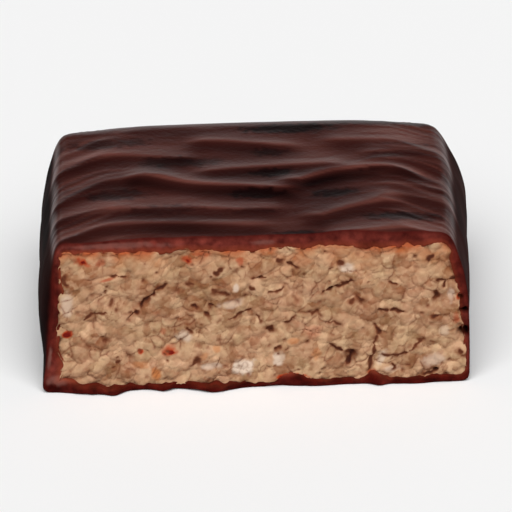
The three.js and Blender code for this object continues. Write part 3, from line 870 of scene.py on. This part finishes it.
def cracks(x, z):
    """How deep the named cracks and holes go, and how dark their painted shade is."""
    opening = CRACK_WIDENING * (0.95 + 0.9 * noise(x / 0.38, z / 0.38, 70))
    x = x + CRACK_WAVER * fractal(x / 0.6, z / 0.6, 71)
    z = z + CRACK_WAVER * fractal(x / 0.6, z / 0.6, 72)
    deep, dark = 0, 0
    for x0, z0, x1, z1, half_width, depth in CRACKS:
        span = max(math.hypot(x1 - x0, z1 - z0), 0.01)
        along = np.clip(((x - x0) * (x1 - x0) + (z - z0) * (z1 - z0)) / span**2, 0, 1)
        away = np.hypot(x - x0 - along * (x1 - x0), z - z0 - along * (z1 - z0))
        reach = half_width * np.maximum(opening, CRACK_LEAST_OPENING)
        within = np.exp(-((away / reach) ** 2))
        deep = np.maximum(deep, CRACK_DEPTH_SHARE * depth * within)
        # a crack's painted shade, darker the deeper it is
        darkness = min(1, CRACK_LEAST_DARKNESS + CRACK_DARKENING * depth)
        dark = np.maximum(dark, darkness * within)
    return deep, dark


def large_relief(x, z):
    """The lumps, the crumb that stands proud, and the pits. Lumps and pits are shallower than in CAD."""
    u, v = flake_place(x, z)
    depth = 0
    for size, height, seed in LUMPS:
        depth = depth + LUMP_SHARE * height * (0.4 - 1.6 * np.abs(noise(u / size, v / size, seed)))
    reach = ((x - CRUMB[0]) / CRUMB_HALF[0]) ** 2 + ((z - CRUMB[1]) / CRUMB_HALF[1]) ** 2
    depth = depth - CRUMB_HEIGHT * np.maximum(1 - reach, 0)
    for pit_x, pit_z, radius, pit_depth in PITS:
        near = np.exp(-((x - pit_x) ** 2 + (z - pit_z) ** 2) / radius**2)
        depth = depth + PIT_SHARE * pit_depth * near
    return depth


def piled_crumbs(x, z, depth):
    """The depth with crumbs piled on it, the painted shade in the gaps between them, and how light each
    is.
    """
    u, v = flake_place(x, z)
    bent_u = u * FLAKE_STRETCH / CRUMB_STRETCH + CRUMB_BEND * fractal(x / 0.7, z / 0.7, 73)
    bent_v = v + CRUMB_BEND * fractal(x / 0.7, z / 0.7, 74)
    light, crevice_shade = 0, 0
    for size, height, gap_shade, seed in CRUMB_PILES:
        top, above, chance = crumb_pile(bent_u / size, bent_v / size, seed)
        depth = depth - height * (top - 0.2)
        broken = smooth(0.0, 0.6, noise(x / 1.1 + seed, z / 0.9, 75 + seed))
        crevice_shade = np.maximum(crevice_shade, gap_shade * np.exp(-above / 0.15) * broken)
        light = light + 0.7 * (chance - 0.5)
    return depth, crevice_shade, light


def torn_face(x, z):
    """Depth behind the cut, and for the colours the painted shade in gaps, nicks, cracks and holes, and
    how dull, light, rusty, pale and warm each place is.
    """
    depth, crevice_shade, light = piled_crumbs(x, z, large_relief(x, z))
    depth = depth + GRAIN_HEIGHT * fractal(x / GRAIN_SIZE, z / GRAIN_SIZE, 76)
    for spacing, share, longest, width, seed in NICKS:
        found = nicks(x, z, spacing, share, longest, width, seed)
        depth = depth + NICK_DEPTH * found
        crevice_shade = np.maximum(crevice_shade, NICK_SHADE * found)
    deep, dark = cracks(x, z)
    hole = edge_hole(x, z)
    depth = np.maximum(depth + 0.15 * crevice_shade + deep + EDGE_HOLE_DEPTH * hole, -FACE_RECESS)
    marks = {
        # painted shade in the gaps, nicks, cracks and holes
        "crevice_shade": np.maximum(np.maximum(crevice_shade, dark), hole),
        "light": light + 0.5 * fractal(x / 0.42, z / 0.36, 77) + 0.25 * noise(x / 3, z / 2, 78),
        "warm": 0.6 * noise(x / 1.4, z / 1.2, 79) + 0.5 * noise(x / 0.5, z / 0.5, 80),
        "rust": np.maximum(spots(x, z, RUST_SPOTS), RUST_STAIN * top_stain(x, z, RUST_REACH)),
        "amber": np.maximum(spots(x, z, AMBER_SPOTS), AMBER_STAIN * top_stain(x, z, AMBER_REACH)),
        "pale": spots(x, z, PALE_SPOTS),
        "dull": spots(x, z, DARK_SPOTS),
    }
    return depth, marks


def top_stain(x, z, reach):
    """An uneven stain where the glaze was drawn over the filling, reaching so far below the top."""
    under = np.maximum(HEIGHT - GLAZE_TOP - z, 0)
    width = np.maximum(reach * (1 + 0.7 * noise(x / 1.2, 0.5, 92) + 0.3 * smooth(8, 17, x)), 0.12)
    patches = smooth(-0.5, 0.6, noise(x / 1.6, z / 1.2, 93) + 0.3)
    return np.exp(-under / width) * patches


def halva_core():
    surface = Surface()
    depths = (CUT_Y + FACE_RECESS + 0.1, CUT_Y + 0.8, CUT_Y + 2 * PINCH_FADE, END_Y - END_REACH,
              *reversed(lining_end_depths(-FILLING_OVERLAP)))
    rings = [lining_ring(-FILLING_OVERLAP, y, CORE_STEPS) for y in depths]
    indices = [surface.add_points(ring) for ring in rings]
    for ring, following in zip(indices, indices[1:]):
        surface.add_strip(ring, following)
    surface.add_cap(indices[0], rings[0], CORE_STEPS, -1, lambda x, z: torn_face(x, z)[0])
    surface.add_fan(indices[-1], rings[-1], 1)
    return surface


# ---- materials -----------------------------------------------------------------------------------

def new_material(name):
    material = bpy.data.materials.new(name)
    material.use_nodes = True
    tree = material.node_tree
    return material, tree, tree.nodes["Principled BSDF"]


def connect(tree, value, socket):
    """Links a socket to where its value comes from, or sets it to a number or colour."""
    if isinstance(value, bpy.types.NodeSocket):
        tree.links.new(value, socket)
    else:
        socket.default_value = value


def add_node(tree, kind, inputs=None, **settings):
    node = tree.nodes.new(kind)
    for key, value in settings.items():
        setattr(node, key, value)
    for key, value in (inputs or {}).items():
        connect(tree, value, node.inputs[key])
    return node


def object_place(tree):
    return add_node(tree, "ShaderNodeTexCoord").outputs["Object"]


def read_mark(tree, name):
    """A number kept on the mesh's points."""
    return add_node(tree, "ShaderNodeAttribute", attribute_name=name).outputs["Fac"]


def add_cloud(tree, place, scale, detail):
    inputs = {"Vector": place, "Scale": scale, "Detail": detail}
    return add_node(tree, "ShaderNodeTexNoise", inputs).outputs["Fac"]


def rescale(tree, value, before=(0.0, 1.0), after=(0.0, 1.0)):
    """Maps one range of a number onto another, and keeps it inside that."""
    limits = {"From Min": before[0], "From Max": before[1], "To Min": after[0], "To Max": after[1]}
    return add_node(tree, "ShaderNodeMapRange", {"Value": value, **limits}).outputs[0]


def srgb(colour):
    """A colour of numbers up to 255, as the linear one that shaders take."""
    def linear(value):
        value /= 255
        return value / 12.92 if value <= 0.04045 else ((value + 0.055) / 1.055) ** 2.4
    return (*map(linear, colour), 1.0)


def mix_colours(tree, factor, a, b):
    node = add_node(tree, "ShaderNodeMix", data_type="RGBA")
    for place, value in ((0, factor), (6, a), (7, b)):
        connect(tree, value, node.inputs[place])
    return node.outputs[2]


def mix_pair(tree, factor, pair):
    return mix_colours(tree, factor, srgb(pair[0]), srgb(pair[1]))


def add_bump(tree, shader, height, strength, distance):
    inputs = {"Height": height, "Strength": strength, "Distance": distance}
    bump = add_node(tree, "ShaderNodeBump", inputs)
    tree.links.new(bump.outputs[0], shader.inputs["Normal"])


def skin_colour(tree, place):
    """The glaze's outside: painted shade, darkest in the hollows and on the left side, with a pale
    painted sheen on the crests.
    """
    # the tone holds painted sheen on the crests and painted shade in the hollows and on the left side
    tone = read_mark(tree, "crest")
    cloud = add_cloud(tree, place, 260.0, 5.0)
    plain = mix_pair(tree, cloud, GLAZE_COLOURS["plain"])
    crest_sheen = mix_pair(tree, cloud, GLAZE_COLOURS["crest_sheen"])
    risen = rescale(tree, tone, (0.0, PLAIN_TONE))
    skin = mix_colours(tree, risen, srgb(GLAZE_COLOURS["hollow_shade"]), plain)
    proud = rescale(tree, tone, (PLAIN_TONE, 1.0))
    return mix_colours(tree, proud, skin, crest_sheen)


def band_colour(tree, place, cut):
    """The glaze's cut face, from a dark rim on the outside to a stained margin at the filling."""
    deep = read_mark(tree, "deep")
    spread = rescale(tree, add_cloud(tree, place, 1100.0, 4.0), (0.3, 0.7))
    fresh = mix_pair(tree, spread, GLAZE_COLOURS["fresh"])
    dark = mix_pair(tree, spread, GLAZE_COLOURS["dark"])
    band = mix_colours(tree, deep, fresh, dark)
    # a pale smear, and painted shade in the holes
    for mark in ("smear", "hole"):
        band = mix_colours(tree, read_mark(tree, mark), band, srgb(GLAZE_COLOURS[mark]))
    rim = rescale(tree, cut, (1.05, 1.4), (0.65, 0.0))
    band = mix_colours(tree, rim, band, srgb(GLAZE_COLOURS["rim"]))
    shallow = rescale(tree, deep, after=(0.55, 0.1))
    margin = rescale(tree, cut, (1.6, 2.0), (0.0, shallow))
    return mix_colours(tree, margin, band, srgb(GLAZE_COLOURS["margin"]))


def glaze_material():
    material, tree, shader = new_material("glaze")
    place = object_place(tree)
    cut = read_mark(tree, "cut")
    skin, band = skin_colour(tree, place), band_colour(tree, place, cut)
    colour = mix_colours(tree, rescale(tree, cut), skin, band)
    tree.links.new(colour, shader.inputs["Base Color"])
    satin = rescale(tree, read_mark(tree, "wall"), after=(TOP_ROUGHNESS, SIDE_ROUGHNESS))
    rough = rescale(tree, cut, after=(satin, CUT_ROUGHNESS))
    tree.links.new(rough, shader.inputs["Roughness"])
    shader.inputs["IOR"].default_value = 1.45
    shader.inputs["Specular IOR Level"].default_value = 0.018
    shader.inputs["Specular Tint"].default_value = (1.0, 0.8, 0.74, 1.0)
    add_bump(tree, shader, add_cloud(tree, place, 2200.0, 5.0), 0.25, 0.00012)
    return material


def halva_material():
    material, tree, shader = new_material("halva")
    fine = add_cloud(tree, object_place(tree), 2600.0, 4.0)
    shade = rescale(tree, read_mark(tree, "light"), (-0.7, 0.7))
    hue = rescale(tree, read_mark(tree, "warm"), (-0.8, 0.8))
    low = mix_pair(tree, hue, HALVA_COLOURS["low"])
    high = mix_pair(tree, hue, HALVA_COLOURS["high"])
    colour = mix_colours(tree, shade, low, high)
    speck = rescale(tree, fine, (0.3, 1.0), (0.0, 0.5))
    rust, crevice_shade = read_mark(tree, "rust"), read_mark(tree, "crevice_shade")
    for name, factor in (
        ("speck", speck),
        ("pale", read_mark(tree, "pale")),
        ("dull", read_mark(tree, "dull")),
        ("amber", read_mark(tree, "amber")),
        ("rust", rust),
        ("rust core", rescale(tree, rust, (1.0, 1.4))),
        # painted shade in the gaps, nicks, cracks and holes, darkest where deepest
        ("gap_shade", rescale(tree, crevice_shade, (0.0, 0.6))),
        ("pit_shade", rescale(tree, crevice_shade, (0.4, 1.0))),
    ):
        colour = mix_colours(tree, factor, colour, srgb(HALVA_COLOURS[name]))
    tree.links.new(colour, shader.inputs["Base Color"])
    shader.inputs["Roughness"].default_value = HALVA_ROUGHNESS
    shader.inputs["Specular IOR Level"].default_value = 0.15
    add_bump(tree, shader, fine, 0.5, 0.0001)
    return material


def floor_material():
    material, tree, shader = new_material("floor")
    cloud = add_cloud(tree, object_place(tree), 3.0, 2.0)
    darker, lighter = ((shade, shade, shade, 1) for shade in FLOOR_SHADES)
    tree.links.new(mix_colours(tree, cloud, darker, lighter), shader.inputs["Base Color"])
    shader.inputs["Roughness"].default_value = FLOOR_ROUGHNESS
    shader.inputs["Specular IOR Level"].default_value = 0.1
    return material


# ---- pieces --------------------------------------------------------------------------------------

def build_candy():
    """Builds both pieces, in the middle of the CAD shell's box and at its foot, and returns the y of
    the cut in metres."""
    shell, low, high = glaze_shell()
    cad_lo, cad_hi = (np.array(corner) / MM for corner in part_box("glaze_shell"))
    shift = (cad_lo + cad_hi) / 2 - (low + high) / 2
    shift[2] = cad_lo[2] - low[2]
    x, y, z = np.concatenate(shell.points).T
    cut = np.concatenate(shell.marks)
    on_cut = np.minimum(cut, 1)
    marks = {
        "cut": cut,
        "deep": band_depth(x, z),
        # painted sheen on the crests, painted shade in the hollows and on the left side
        "crest": painted_sheen_and_shade(x, y, z),
        "wall": 1 - smooth(HEIGHT - 2.5, HEIGHT - 1, z),
        "smear": spots(x, z, SMEARS) * on_cut,
        # where the holes are painted dark, as shade
        "hole": edge_hole(x, z) * on_cut,
    }
    glaze = make_mesh("glaze", shell, shift, marks, glaze_material())
    core = halva_core()
    points = np.concatenate(core.points)
    marks = torn_face(points[:, 0], points[:, 2])[1]
    halva = make_mesh("halva", core, shift, marks, halva_material())
    for piece, node, slot in ((glaze, "glaze_shell", "glaze"), (halva, "halva_core", "halva")):
        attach(piece, "root")
        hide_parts(node)
    return (CUT_Y + shift[1]) * MM


# ---- floor, light and camera ---------------------------------------------------------------------

FLOOR_SIZE = 8.0
FLOOR_DROP = 0.00002

# Light: a wide sun from the front and above, a long low lamp behind, and a faint white surround.
SUN_STRENGTH = 3.5
SUN_ANGLE = math.radians(60)
SUN_DIRECTION = (-0.02, 0.6, -0.8)
LAMP_PLACE = (0.2, 0.95, 0.15)
LAMP_SIZE = (1.1, 0.12)
LAMP_POWER = 1.2
SURROUND_STRENGTH = 0.1

# Camera: its angles, its lens and sensor in millimetres, the render's scale, and how many pixels the
# foot of the cut lies below the middle of the frame.
VIEW_AZIMUTH = math.radians(0.7)
VIEW_ELEVATION = math.radians(23.6)
VIEW_ROLL = math.radians(-1.9)
LENS = 900.0
SENSOR = 36.0
FRAME_PIXELS = 512
PIXELS_PER_MM = 11.26
CUT_FOOT_BELOW_MIDDLE = 132.3
CLIP_NEAR, CLIP_FAR = 0.05, 20


def build_floor():
    half = FLOOR_SIZE / 2
    mesh = bpy.data.meshes.new("floor")
    corners = ((-half, -half), (half, -half), (half, half), (-half, half))
    mesh.from_pydata([(x, y, -FLOOR_DROP) for x, y in corners], [], [(0, 1, 2, 3)])
    mesh.materials.append(floor_material())
    floor = bpy.data.objects.new("floor", mesh)
    bpy.context.scene.collection.objects.link(floor)


def place_lamp(name, light, place, direction):
    lamp = bpy.data.objects.new(name, light)
    lamp.location = place
    lamp.rotation_mode = "QUATERNION"
    lamp.rotation_quaternion = direction.to_track_quat("-Z", "Y")
    bpy.context.scene.collection.objects.link(lamp)


def build_light():
    world = bpy.data.worlds.new("studio")
    world.use_nodes = True
    background = world.node_tree.nodes["Background"]
    background.inputs["Color"].default_value = (1, 1, 1, 1)
    background.inputs["Strength"].default_value = SURROUND_STRENGTH
    bpy.context.scene.world = world
    bpy.context.scene.view_settings.view_transform = "Standard"
    sun = bpy.data.lights.new("sky", "SUN")
    sun.energy, sun.angle = SUN_STRENGTH, SUN_ANGLE
    place_lamp("sky", sun, (0, 0, 0), Vector(SUN_DIRECTION))
    area = bpy.data.lights.new("back", "AREA")
    area.shape, area.energy = "RECTANGLE", LAMP_POWER
    area.size, area.size_y = LAMP_SIZE
    place_lamp("back", area, LAMP_PLACE, -Vector(LAMP_PLACE))


def build_camera(cut_y):
    data = bpy.data.cameras.new("camera")
    data.lens, data.sensor_width = LENS, SENSOR
    distance = LENS / SENSOR * FRAME_PIXELS / PIXELS_PER_MM * MM
    a, e = VIEW_AZIMUTH, VIEW_ELEVATION
    back = Vector((math.sin(a) * math.cos(e), -math.cos(a) * math.cos(e), math.sin(e)))
    level = Vector((math.cos(a), math.sin(a), 0))
    lifted = back.cross(level)
    right = level * math.cos(VIEW_ROLL) + lifted * math.sin(VIEW_ROLL)
    up = lifted * math.cos(VIEW_ROLL) - level * math.sin(VIEW_ROLL)
    foot = Vector((0, cut_y, 0))
    target = foot + up * (CUT_FOOT_BELOW_MIDDLE / PIXELS_PER_MM * MM)
    camera = bpy.data.objects.new("camera", data)
    turn = Matrix((right, up, back)).transposed().to_4x4()
    camera.matrix_world = Matrix.Translation(target + back * distance) @ turn
    data.clip_start, data.clip_end = CLIP_NEAR, CLIP_FAR
    bpy.context.scene.collection.objects.link(camera)
    bpy.context.scene.camera = camera


cut_plane_y = build_candy()
build_floor()
build_light()
build_camera(cut_plane_y)
